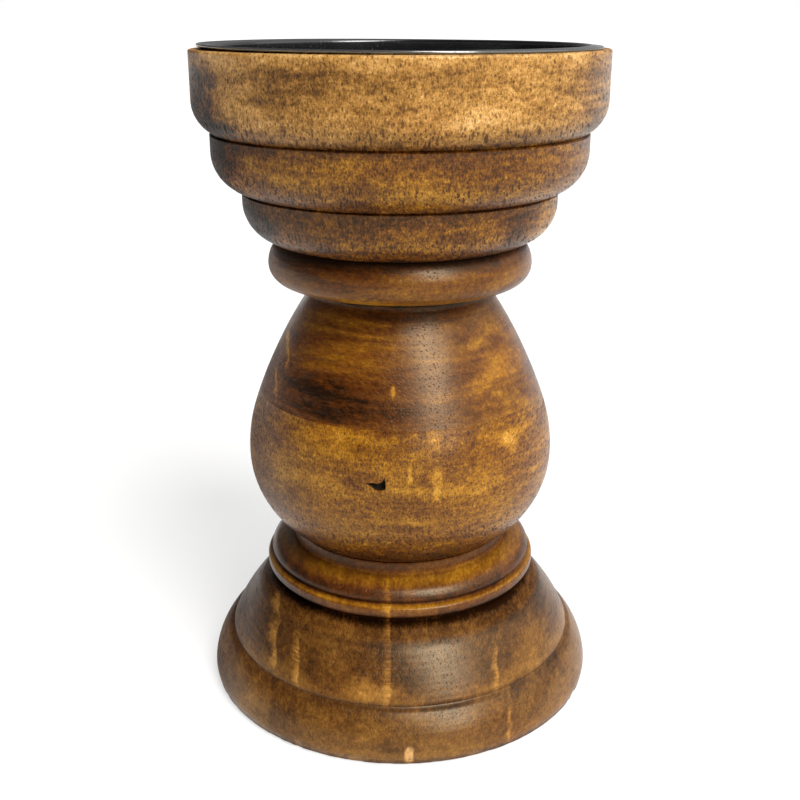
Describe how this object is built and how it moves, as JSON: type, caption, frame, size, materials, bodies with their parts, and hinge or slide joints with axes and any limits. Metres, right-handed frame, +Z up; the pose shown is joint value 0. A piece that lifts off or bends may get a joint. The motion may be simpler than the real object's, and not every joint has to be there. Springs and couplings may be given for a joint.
{
  "type": "candlestick",
  "caption": "Turned wooden pillar-candle holder: stepped cup with a lift-out steel drip pan, bead, pear-shaped bulb and bell foot with a ring, standing on a felt disc.",
  "frame": {"origin": "centre of the face that the holder stands on", "axes": "+Z up along the turning axis; the blocks' grain is level, along X in the bulb and along Y in the cup and foot"},
  "size_m": [0.1014, 0.1014, 0.1622],
  "materials": {
    "foot_wood": "waxed stain over level-grain hardwood, worn lighter along its edges",
    "lower_bulb_wood": "waxed golden-brown stain, open pores",
    "upper_bulb_wood": "waxed dark-brown stain, fine level grain",
    "cup_wood": "waxed golden stain, coarse open pores, darker in the creases",
    "pan_steel": "gloss black enamel, bare bright line along the lip",
    "dowel_wood": "plain sanded beech",
    "felt": "pressed wool felt"
  },
  "bodies": {
    "holder": {"foot": "foot_wood", "lower_bulb": "lower_bulb_wood", "upper_bulb": "upper_bulb_wood", "cup": "cup_wood", "foot_dowel": "dowel_wood", "bulb_dowel": "dowel_wood", "cup_dowel": "dowel_wood", "base_felt": "felt"},
    "pan": {"candle_pan": "pan_steel"}
  },
  "joints": [
    {"name": "pan_lift", "type": "slide", "parent": "holder", "child": "pan", "axis": [0, 0, 1], "range_m": [0, 0.03]}
  ]
}
